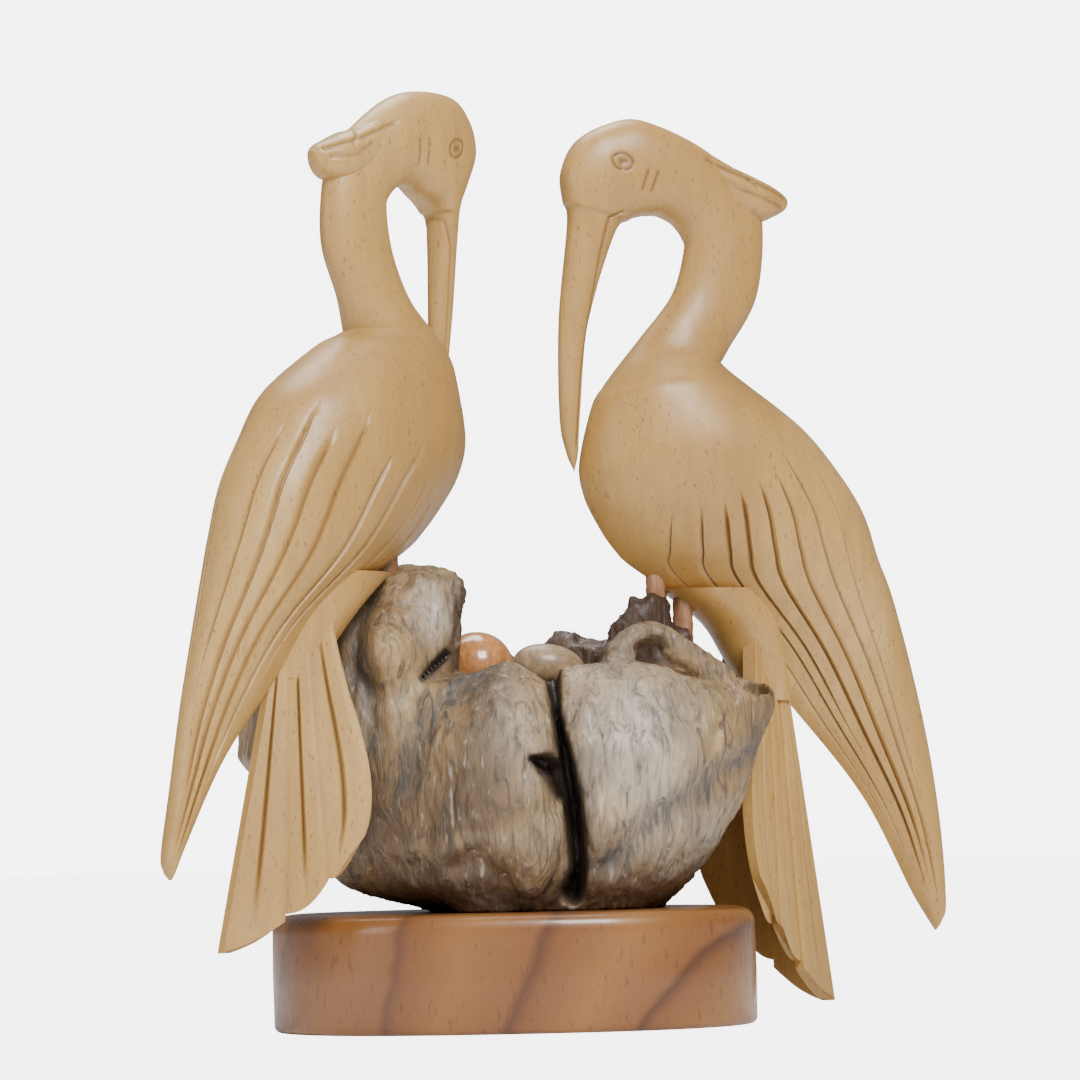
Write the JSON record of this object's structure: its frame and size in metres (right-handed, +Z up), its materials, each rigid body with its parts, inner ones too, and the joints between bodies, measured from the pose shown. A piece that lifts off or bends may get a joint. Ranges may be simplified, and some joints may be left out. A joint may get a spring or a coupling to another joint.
{
  "type": "carved wooden crane pair",
  "caption": "Carved wooden cranes with folded wings and roof-shaped tails on a hollow burl nest with eggs, on an oval wooden base.",
  "frame": {"origin": "middle of the base's flat underside, on the surface it stands on", "axes": "+Z up; the viewer of the picture stands at -Y and looks along +Y; +X is to the viewer's right"},
  "size_m": [0.163, 0.1061, 0.1975],
  "materials": {
    "base_wood": "satin",
    "burl_wood": "rough, oiled",
    "crane_wood": "satin wax",
    "leg_wood": "satin",
    "egg_red_wood": "polished",
    "egg_grey_wood": "satin"
  },
  "bodies": {
    "root": {"base_slab": "base_wood", "burl_nest": "burl_wood", "crane_left": "crane_wood", "crane_right": "crane_wood", "crane_left_leg_front": "leg_wood", "crane_left_leg_back": "leg_wood", "crane_right_leg_front": "leg_wood", "crane_right_leg_back": "leg_wood", "egg_round": "egg_red_wood", "egg_long": "egg_grey_wood"}
  },
  "joints": []
}
